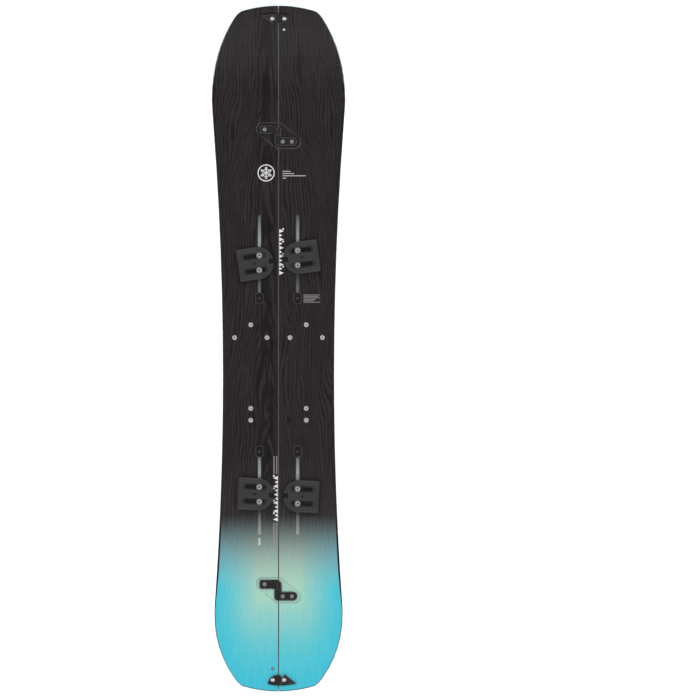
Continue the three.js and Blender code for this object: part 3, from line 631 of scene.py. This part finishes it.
def puck_mesh():
    """The D-shaped block: foot, waist with the side grooves, and the top flange with its open slots."""
    notch = rounded_rect(NOTCH_X, 0, 9.8, 10.6, 0.8)
    through = puck_slots(*SLOT_THROUGH)
    flange = [puck_outline(), notch, star(11, 3.4, 2.1, 6)] + puck_slots(*SLOT_OPEN)
    return joined([
        plate_mesh([puck_outline()] + through, 0, PUCK_WAIST[0] + 0.2, 0.35),
        plate_mesh([puck_outline(3.0)] + through, *PUCK_WAIST),
        plate_mesh(flange, PUCK_WAIST[1] - 0.2, PUCK_H, 0.45),
    ])


def puck_ledges():
    """The sunk ledges beside both slots, with their teeth."""
    parts = [plate_mesh(puck_slots(*SLOT_LEDGE) + puck_slots(*SLOT_THROUGH), 6.5, PUCK_LEDGE)]
    for i in range(9):
        for y in (-SLOT_Y, SLOT_Y):
            for side in (-1, 1):
                tooth = rounded_rect(-8 + 4.6 * i, y + side * 5.25, 1.6, 1.9, 0.5)
                parts.append(plate_mesh([tooth], PUCK_LEDGE - 0.1, PUCK_LEDGE + 0.9, 0.15, 1))
    return joined(parts)


def puck_ridges():
    """Two raised lines inside each straight side."""
    lines = [(33.9, 1.5), (29.0, 1.3)]
    return joined([plate_mesh([rounded_rect(24.5, side * y, 44, w, 0.5)], PUCK_H - 0.1, PUCK_H + 0.35, 0.12)
                   for y, w in lines for side in (-1, 1)])


# A dark sheet on the floor of the notch, in the rubber finish: painted shade in the notch.
def puck_notch_shade():
    return plate_mesh([rounded_rect(NOTCH_X, 0, 9.7, 10.5, 0.7)], 6.5, 7.1)


def screw_mesh():
    """Pan head with a round recess; z = 0 is the underside of its washer."""
    head = lathe_mesh([
        (0, 1.2), (4.7, 1.2), (4.8, 1.5), (4.6, 2.4), (3.9, 3.0),
        (2.5, 3.2), (2.3, 3.1), (2.3, 1.6), (0, 1.5),
    ], 48)
    shaft = lathe_mesh([(0, -13.4), (2.6, -13.4), (2.9, -13), (2.9, 0.1), (0, 0.1)], 24)
    return joined([head, shaft])


def washer_mesh():
    return lathe_mesh([(0, 0), (6.9, 0), (7.25, 0.2), (7.25, 0.9), (6.95, 1.2), (5.2, 1.25), (0, 1.25)], 48)


# A dark disc that fills a screw head's recess as painted shade.
def recess_shade_disc():
    return lathe_mesh([(0, 1.75), (2.2, 1.75), (2.25, 1.55)], 6)


def build_puck(place, at, turn):
    body = f"{place}_puck"
    piece(f"{place}_puck_block", moved(puck_mesh(), at, turn), "puck", body, [body], 30)
    # the sunk ledges take a darker finish as painted shade
    piece(f"{place}_puck_ledges", moved(puck_ledges(), at, turn), "puck_ledge", body)
    # the raised lines are coloured lighter as a painted highlight
    piece(f"{place}_puck_ridges", moved(puck_ridges(), at, turn), "puck_ridge", body)
    # the notch's dark floor is painted shade
    piece(f"{place}_puck_notch_shade", moved(puck_notch_shade(), at, turn), "rubber", body)


def build_screw(name, at, body):
    piece(f"{name}_turned", moved(screw_mesh(), at), "steel", body, [name], 40)
    piece(f"{name}_washer", moved(washer_mesh(), at), "dull_steel", body, (), 40)
    # painted shade in the head's recess
    piece(f"{name}_recess", moved(recess_shade_disc(), at), "dark", body)


def build_pucks():
    for place, (x, y, turn) in PUCKS.items():
        facing = 180 if x < 0 else 0
        build_puck(place, (x, y, PUCK_FOOT), facing + turn)
        for end, side in (("fore", 1), ("aft", -1)):
            at = (x, y + side * SCREW_PITCH / 2, SCREW_SEAT)
            build_screw(f"{place}_screw_{end}", at, f"{place}_carriage")


# ---------------------------------------------------------------- channels, plugs and inserts
def build_plug(name, side, x, y):
    width, length = PLUG_SIZE
    cap = plate_mesh([rounded_rect(x, y, width, length, 5), rounded_rect(x, y, 6.4, 3.4, 1.4)],
                     TOP - 1.3, TOP + 0.1, 0.25)
    foot = plate_mesh([rounded_rect(x, y, 12.2, 22.2, 3.5)], 3.6, TOP - 1.2)
    piece(f"{name}_cap", joined([cap, foot]), "plug", name, [name], 30)
    grip = plate_mesh([rounded_rect(x, y, 6.3, 3.3, 1.35)], TOP - 1.25, TOP - 0.4)
    piece(f"{name}_grip", grip, "puck_ridge", name)
    outer = rounded_rect(x, y, width + 2.9, length + 2.9, 6.4)
    inner = rounded_rect(x, y, width + 1, length + 1, 5.5)
    seal = plate_mesh([outer, inner], TOP + 0.01, TOP + 0.09)
    piece(f"{name}_outline", seal, "plug_outline", f"{side}_half")


def build_plugs():
    for side, k in (("left", -1), ("right", 1)):
        for place, y in PLUGS.items():
            build_plug(f"{side}_{place}_plug", side, k * CHANNEL_X, y)


def insert_ring(at):
    """The dished face of an insert, round its bore."""
    return lathe_mesh([
        (1.7, TOP - 0.5), (2.6, TOP + 0.25), (4.9, TOP + 0.25),
        (INSERT_R - 0.05, TOP + 0.1), (INSERT_R, TOP - 0.3),
    ], 40, at)


def insert_bore(at):
    return lathe_mesh([(0, TOP - 0.6), (1.8, TOP - 0.6), (1.75, TOP - 0.4)], 32, at)


def insert_collar(at):
    return plate_mesh([circle(*at, INSERT_R + 1.15), circle(*at, INSERT_R + 0.1)], TOP + 0.01, TOP + 0.1)


def build_inserts():
    for side, k in (("left", -1), ("right", 1)):
        for group, places in (("touring", TOURING), ("heel", HEEL)):
            spots = [(k * x, y) for x, y in places]
            body, stem = f"{side}_half", f"{side}_{group}_insert"
            piece(f"{stem}_faces", joined(map(insert_ring, spots)), "steel", body, (), 40)
            piece(f"{stem}_bores", joined(map(insert_bore, spots)), "dull_steel", body)
            piece(f"{stem}_collars", joined(map(insert_collar, spots)), "black_print", body)


# ---------------------------------------------------------------- hooks and their films
def left_hook_outline():
    """The slanted face at the seam, the round shoulder and the long foot."""
    return ([(-3.2, 3.2), (3.2, -3.2), (6.8, -3.2)] + arc(-5, 12, 11.8, 0, 90, 10)
            + arc(-38.8, 19.3, 4.5, 90, 180, 6) + arc(-38.8, 7.7, 4.5, 180, 270, 6))


def right_hook_outline():
    return ([(3, -3.6), (-3.4, 2.8), (-9.6, 2.8)] + arc(-1.6, -15.7, 8, 180, 270, 8)
            + arc(32.8, -13.65, 10.05, -90, 90, 20))


def inset_loop(loop, depth):
    """The loop moved inwards, square to the line between each point's neighbours."""
    area = sum(x0 * y1 - x1 * y0 for (x0, y0), (x1, y1) in zip(loop, loop[1:] + loop[:1]))
    side = 1 if area > 0 else -1
    result = []
    for i, here in enumerate(loop):
        before, after = Vector(loop[i - 1]), Vector(loop[(i + 1) % len(loop)])
        way = (after - before).normalized()
        result.append(tuple(Vector(here) + side * depth * Vector((-way.y, way.x))))
    return result


def edge_highlight(loop, z):
    """A fine raised line just inside the edge of a moulding, coloured lighter than it as a painted
    highlight.
    """
    return plate_mesh([inset_loop(loop, 1.0), inset_loop(loop, 2.1)], z - 0.1, z + 0.15)


def hook_screw(x, y, z):
    return lathe_mesh([
        (0, z - 0.8), (4.7, z - 0.8), (4.7, z + 0.1), (4.3, z + 0.5),
        (3.2, z + 0.7), (1.6, z + 0.75), (1.3, z + 0.4), (0, z + 0.3),
    ], 32, (x, y))


def left_hook_parts():
    """The raised middle and the foot pad."""
    return [plate_mesh([rounded_rect(-9.5, 13.6, 16, 19, 5)], 3.0, 4.0, 0.45, 3),
            plate_mesh([rounded_rect(-24, 13.5, 36, 18, 8)], 0.05, 1.0)]


def right_hook_parts():
    return [plate_mesh([rounded_rect(-1.4, -7, 12, 14, 4)], 3.0, 3.9, 0.4, 3),
            plate_mesh([rounded_rect(22, -13.6, 36, 18, 8)], 0.05, 1.0)]


def build_moulding(name, side, y, outline, parts):
    body = f"{side}_half"
    plate = plate_mesh([outline], 0.5, HOOK_T, 0.5, 3)
    mesh = laid_on(moved(joined([plate] + parts), (0, y, 0)), side)
    piece(f"{name}_moulding", mesh, "clip", body, [name], 30)
    # a lighter line inside the edge: painted highlight
    line = laid_on(moved(edge_highlight(outline, HOOK_T), (0, y, 0)), side)
    piece(f"{name}_edge_highlight", line, "clip_ridge", body)


def build_hook_screws(name, side, y, places):
    heads = moved(joined([hook_screw(*place, HOOK_T) for place in places]), (0, y, 0))
    piece(f"{name}_screws", laid_on(heads, side), "dull_steel", f"{side}_half", (), 40)


def build_hooks():
    for place, y in HOOKS.items():
        left, right = f"left_{place}_hook", f"right_{place}_hook"
        build_moulding(left, "left", y, left_hook_outline(), left_hook_parts())
        tick = moved(plate_mesh([rounded_rect(-3.4, 13.2, 1.4, 8, 0.6)], 3.6, 4.15, 0.1), (0, y, 0))
        piece(f"{left}_tick", laid_on(tick, "left"), "tick_print", "left_half")
        build_hook_screws(left, "left", y, [(-31.7, 13.7)])
        build_moulding(right, "right", y, right_hook_outline(), right_hook_parts())
        build_hook_screws(right, "right", y, [(9.8, -13.9), (30.5, -13.9)])


def rounded_polygon(corners, radii):
    """A closed loop with each corner rounded to its radius, in eight steps."""
    loop = []
    for i, (corner, r) in enumerate(zip(corners, radii)):
        here = Vector(corner)
        back = (Vector(corners[i - 1]) - here).normalized()
        ahead = (Vector(corners[(i + 1) % len(corners)]) - here).normalized()
        half = back.angle(ahead) / 2
        start, end = here + back * r / math.tan(half), here + ahead * r / math.tan(half)
        centre = here + (back + ahead).normalized() * r / math.sin(half)
        for k in range(9):
            spoke = (start - centre).slerp(end - centre, k / 8) * r
            loop.append(tuple(centre + spoke))
    return loop


def film_outline(shrink=0.0):
    """A rounded slanted shape round both hook pieces, the same turned half round."""
    half = [
        (-50.7 + shrink, 29.8 - shrink),
        (4.4 - shrink / 2, 29.8 - shrink),
        (50.7 - shrink, -7.2 + shrink / 2),
    ]
    return rounded_polygon(half + [(-x, -y) for x, y in half], [14, 13, 12] * 2)


def clipped(loop, side):
    """The part of a convex loop on one side of the seam."""
    k = -1 if side == "left" else 1
    result = []
    for (x0, y0), (x1, y1) in zip(loop, loop[1:] + loop[:1]):
        in0, in1 = k * x0 >= SEAM_GAP, k * x1 >= SEAM_GAP
        if in0:
            result.append((x0, y0))
        if in0 != in1:
            t = (k * SEAM_GAP - x0) / (x1 - x0)
            result.append((k * SEAM_GAP, y0 + t * (y1 - y0)))
    return result


def ribbon_mesh(outer, inner, side):
    """A narrow band between two like loops, kept to one side of the seam."""
    parts = []
    count = len(outer)
    for i in range(count):
        j = (i + 1) % count
        kept = clipped([outer[i], outer[j], inner[j], inner[i]], side)
        if len(kept) > 2:
            parts.append(plate_mesh([kept], *FILM_EDGE))
    return joined(parts)


def build_films():
    for place, y in HOOKS.items():
        for side in ("left", "right"):
            body = f"{side}_half"
            sheet = divided(plate_mesh([clipped(film_outline(), side)], *FILM), 12)
            sheet = laid_on(moved(sheet, (0, y, 0)), side)
            piece(f"{side}_{place}_film", sheet, "film", body)
            ribbon = moved(ribbon_mesh(film_outline(), film_outline(1.0), side), (0, y, 0))
            piece(f"{side}_{place}_film_edge", laid_on(ribbon, side), "film_edge", body)


# ---------------------------------------------------------------- clips at the nose and the tail
def kick_frame(x, y):
    """The point on the topsheet at (x, y), and how far the board is tilted there."""
    start, radius = KICKS["nose" if y > 0 else "tail"]
    tree = TREES["left_topsheet" if x < 0 else "right_topsheet"]
    hit = tree.ray_cast(Vector((mm(x), mm(y), 1.0)), Vector((0, 0, -1)))[0]
    return (x, y, hit.z * 1000), math.degrees(math.asin((y - start) / radius))


def quadratic(p0, p1, p2, steps):
    """A curve from p0 towards p2, drawn to p1, without its last point."""
    points = []
    for i in range(steps):
        t = i / steps
        weights = ((1 - t) ** 2, 2 * t * (1 - t), t * t)
        points.append(tuple(sum(w * v for w, v in zip(weights, axis)) for axis in zip(p0, p1, p2)))
    return points


def turn_of(point):
    return math.degrees(math.atan2(point[1], point[0]))


def clip_back():
    return quadratic(*CLIP_BACK, 60) + [CLIP_BACK[-1]]


def lever_outline(span):
    """From its thumb end along the back, round short of the post, and along the front."""
    reach = span - POST_HOLE
    back = [p for p in clip_back() if math.hypot(*p) < reach]
    end = arc(0, 0, reach, turn_of(back[-1]), -1, 10)
    cradle = arc(span, 0, POST_HOLE, 178, 128, 6)
    front = [(22.6, 5.4), (17.2, 11.2)] + quadratic((17.2, 11.2), (16, 12.9), (13.5, 12.9), 5)
    return back + end + cradle + front + quadratic((13.5, 12.9), (-5, 13), (-11.6, -8), 14)[:-1]


def catch_outline(span):
    """What is left of the same long shape past the lever and round the post."""
    reach = span - POST_HOLE + 0.5
    seam = span / 2 + 0.6
    back = [p for p in clip_back() if math.hypot(*p) > reach and p[0] > seam]
    front = [(28.9, 12.6), (28.4, 13.0), (27.6, 13.2), (25.1, 13.1), (25.1, 8.2)]
    hole = arc(span, 0, POST_HOLE, 104, -112, 22)
    return back + front + hole + arc(0, 0, reach, -12, turn_of(back[0]), 8)[:-1]


def rivet_mesh(height):
    return lathe_mesh([
        (0, 0.1), (2.4, 0.1), (2.4, height - 1.1), (4.1, height - 1.1), (4.45, height - 0.8),
        (4.4, height - 0.35), (3.9, height), (2.3, height), (2.0, height - 0.25), (1.7, height - 0.5),
        (0, height - 0.55),
    ], 40)


def build_lever(name, body, span, spot):
    bore = circle(0, 0, 2.9, 24)
    lever = plate_mesh([lever_outline(span), bore], CLIP_UNDER, CLIP_OVER, 0.35, 3)
    hub = plate_mesh([circle(0, 0, 6), bore], 0.3, CLIP_UNDER + 0.2)
    piece(f"{name}_moulding", moved(joined([lever, hub]), *spot), "clip", body, [name], 30)
    # a lighter line inside the edge: painted highlight
    line = edge_highlight(lever_outline(span), CLIP_OVER)
    piece(f"{name}_edge_highlight", moved(line, *spot), "clip_ridge", body)


def catch_bars():
    """Five raised strokes, each shorter, further over and further from the post than the last."""
    strokes = [stroke_loop(31.4 + 3.4 * i, 8.6 - 2.9 * i, 30.2 + 2.9 * i, -3.2 - 0.5 * i, 0.7)
               for i in range(5)]
    return joined([plate_mesh([loop], CLIP_OVER - 0.1, CLIP_OVER + 0.25, 0.12, 1) for loop in strokes])


def build_catch(name, body, span, spot):
    catch = plate_mesh([catch_outline(span)], 0.3, CLIP_OVER, 0.35, 3)
    piece(f"{name}_moulding", moved(catch, *spot), "clip", body, [name], 30)
    # a lighter line inside the edge and lighter strokes: painted highlights
    line = edge_highlight(catch_outline(span), CLIP_OVER)
    piece(f"{name}_edge_highlight", moved(line, *spot), "clip_ridge", body)
    piece(f"{name}_bars", moved(catch_bars(), *spot), "clip_ridge", body)


def build_rivet(name, body, x, y):
    at, tilt = kick_frame(x, y)
    rivet = moved(rivet_mesh(RIVET_H), at, 0, tilt)
    piece(f"{name}_turned", rivet, "bright_steel", body, [name], 40)


def build_stud(name, body, x, y, finish):
    at, tilt = kick_frame(x, y)
    head = lathe_mesh([(0, 0.1), (2.7, 0.1), (2.75, 0.7), (2.2, 1.0), (0, 1.05)], 32)
    ring = lathe_mesh([(2.8, 0.1), (2.8, 0.6), (3.6, 0.6), (3.6, 0.1)], 32)
    piece(f"{name}_head", moved(head, at, 0, tilt), finish, body, [name], 40)
    piece(f"{name}_ring", moved(ring, at, 0, tilt), "rubber", body)


def build_clips():
    for place, clip in CLIPS.items():
        stem, own = f"{place}_clip", f"{clip['lever']}_half"
        other = "left_half" if clip["lever"] == "right" else "right_half"
        span = abs(clip["post"][0] - clip["pivot"][0])
        at, tilt = kick_frame(*clip["pivot"])
        spot = (at, clip["turn"], tilt)
        build_lever(f"{stem}_lever", f"{place}_lever", span, spot)
        build_catch(f"{stem}_catch", other, span, spot)
        build_rivet(f"{stem}_rivet", own, *clip["pivot"])
        build_rivet(f"{stem}_post", other, *clip["post"])
        build_stud(f"{stem}_stud", own, *clip["park"], clip["stud"])


# ---------------------------------------------------------------- prints
def bar(x0, x1, y0, y1):
    return plate_mesh([[(x0, y0), (x1, y0), (x1, y1), (x0, y1)]], *PRINT)


def snowflake_mesh(cx, cy, r, width):
    """Six arms, each with two pairs of short branches."""
    parts = []
    for arm in range(6):
        a = math.radians(60 * arm + 30)
        parts.append(stroke(cx, cy, cx + r * math.cos(a), cy + r * math.sin(a), width))
        for along, length in ((0.45, 0.32), (0.72, 0.22)):
            bx, by = cx + along * r * math.cos(a), cy + along * r * math.sin(a)
            for lean in (-60, 60):
                b = a + math.radians(lean)
                ex, ey = bx + length * r * math.cos(b), by + length * r * math.sin(b)
                parts.append(stroke(bx, by, ex, ey, width * 0.8))
    return joined(parts)


def stroke_loop(x0, y0, x1, y1, width):
    """The outline of a straight stroke between two points."""
    length = math.hypot(x1 - x0, y1 - y0)
    nx, ny = -(y1 - y0) / length * width / 2, (x1 - x0) / length * width / 2
    return [(x0 + nx, y0 + ny), (x0 - nx, y0 - ny), (x1 - nx, y1 - ny), (x1 + nx, y1 + ny)]


def stroke(x0, y0, x1, y1, width):
    return plate_mesh([stroke_loop(x0, y0, x1, y1, width)], *PRINT)


def decal(name, mesh, material, side, under=False):
    """A print laid on the topsheet or under the base."""
    piece(name, laid_on(mesh, side, under), material, f"{side}_half")


def build_emblem():
    ring = plate_mesh([circle(*EMBLEM, 19.4, 64), circle(*EMBLEM, 17.2, 64)], *PRINT)
    decal("left_emblem_ring", ring, "white_print", "left")
    decal("left_emblem_flake", snowflake_mesh(*EMBLEM, 14.2, 2.0), "white_print", "left")


def build_bars():
    """Plain bars in place of small print."""
    rows = ((404.3, 18), (399.3, 26), (394.3, 53), (388.8, 8))
    front = [bar(9.3, 9.3 + w, y - 1.1, y + 1.1) for y, w in rows]
    decal("right_front_bars", joined(front), "light_print", "right")
    widths = (37.5, 34, 37.5, 28, 24, 37.5)
    label = [bar(57, 57 + w, 121.6 - 3.3 * i, 123.4 - 3.3 * i) for i, w in enumerate(widths)]
    decal("right_label_bars", joined(label), "grey_print", "right")


def seam_triangles(k, y0, y1):
    """Eleven triangles, large and small by turns, that point away from the seam, and a few diamonds."""
    count = 11
    pitch = (y1 - y0) / count
    loops = []
    for i in range(count):
        middle = y0 + (i + 0.5) * pitch
        tall, reach = (0.47, 10.5) if i % 2 == 0 else (0.4, 7)
        low, high = middle - tall * pitch, middle + tall * pitch
        loops.append([(k * 1.7, low), (k * (1.7 + reach), middle), (k * 1.7, high)])
        gap = middle + pitch / 2
        if i % 3 == 1:
            loops.append([(k * 8, gap), (k * 10.5, gap - 2.6), (k * 13, gap), (k * 10.5, gap + 2.6)])
    return joined([plate_mesh([loop], *PRINT) for loop in loops])


def seam_strips():
    """Two columns of short bars beside the seam, each in two stretches."""
    rows = []
    for x in (-11.6, -5.4):
        for y0, y1 in ((-285, -244), (-446, -398)):
            y = y0
            while y < y1:
                rows.append(bar(x, x + 2.6, y, y + 3.0))
                y += 4.1
    return joined(rows)


def rear_beads():
    """Three small rings in line."""
    beads = []
    for y, r in ((-434.5, 3.0), (-440.5, 2.2), (-445.5, 3.0)):
        beads.append(plate_mesh([circle(-43.5, y, r, 24), circle(-43.5, y, r - 1.1, 24)], *PRINT))
    return joined(beads)


def build_topsheet_prints():
    build_emblem()
    build_bars()
    decal("right_seam_triangles", seam_triangles(1, 168, 273), "white_print", "right")
    decal("left_seam_triangles", seam_triangles(-1, -394, -290), "white_print", "left")
    decal("left_seam_strips", seam_strips(), "strip_print", "left")
    decal("left_rear_beads", rear_beads(), "white_print", "left")


def build_base_prints():
    disc = plate_mesh([circle(*BASE_EMBLEM, 53, 72)], 0.02, 0.05)
    decal("left_base_disc", disc, "black_print", "left", True)
    flake = moved(snowflake_mesh(*BASE_EMBLEM, 40, 4.6), (0, 0, 0.04))
    decal("left_base_flake", flake, "pale_print", "left", True)


def build_rivet_ends():
    """The steel discs on the base under each clip's rivet, post and stud."""
    for place, clip in CLIPS.items():
        spots = [clip["pivot"], clip["post"], clip["park"]]
        for side, k in (("left", -1), ("right", 1)):
            loops = [circle(x, y, 3.4, 24) for x, y in spots if k * x > 0]
            ends = joined([plate_mesh([loop], 0.02, 0.12, 0.03) for loop in loops])
            decal(f"{side}_{place}_rivet_ends", divided(ends, 2), "steel", side, True)


# ---------------------------------------------------------------- floor, lights and camera
def build_stage():
    """A white disc just below the base, so that the two don't share a plane."""
    mesh = lathe_mesh([(r, -0.2) for r in (0, 1000, 3000, 10000, 30000)], 64)
    g = Graph("floor_white", roughness=0.9, specular=0.0)
    g.colour(g.ramp(g.noise(2, detail=2), [(0.3, (0.95, 0.95, 0.95, 1)), (0.7, (0.97, 0.97, 0.97, 1))]))
    g.shader.inputs["Emission Color"].default_value = (1, 1, 1, 1)
    g.shader.inputs["Emission Strength"].default_value = FLOOR_GLOW
    MAT["floor"] = g.mat
    new_object("floor", mesh, "floor")


def build_lights():
    """Four broad suns from all round, and a faint glow; beyond the floor the camera sees plain white."""
    world = bpy.data.worlds.new("studio")
    bpy.context.scene.world = world
    world.use_nodes = True
    tree = world.node_tree
    tree.nodes["Background"].inputs["Color"].default_value = (1, 1, 1, 1)
    seen = tree.nodes.new("ShaderNodeLightPath").outputs["Is Camera Ray"]
    strength = tree.nodes.new("ShaderNodeMapRange")
    strength.inputs["To Min"].default_value = WORLD_GLOW
    strength.inputs["To Max"].default_value = 1.0
    tree.links.new(seen, strength.inputs["Value"])
    tree.links.new(strength.outputs[0], tree.nodes["Background"].inputs["Strength"])
    for i in range(SUNS):
        data = bpy.data.lights.new(f"soft_{i}", "SUN")
        data.energy = SUN_ENERGY
        data.angle = math.radians(SUN_WIDTH)
        light = bpy.data.objects.new(f"soft_{i}", data)
        bpy.context.scene.collection.objects.link(light)
        light.rotation_euler = (math.radians(SUN_TILT), 0, math.radians(45 + 90 * i))


def build_camera():
    """Straight down from far off, with a view 1.597 metres high."""
    distance, view_height = 16.0, 1.597
    data = bpy.data.cameras.new("camera")
    data.sensor_width = 36
    data.lens = 36 * distance / view_height
    data.clip_end = 1000
    camera = bpy.data.objects.new("camera", data)
    bpy.context.scene.collection.objects.link(camera)
    camera.location = (0.163, -0.003, distance)
    bpy.context.scene.camera = camera
    bpy.context.scene.view_settings.view_transform = "Standard"


finish_cad_nodes()
build_pucks()
build_plugs()
build_inserts()
build_hooks()
build_films()
build_clips()
build_topsheet_prints()
build_base_prints()
build_rivet_ends()
build_stage()
build_lights()
build_camera()
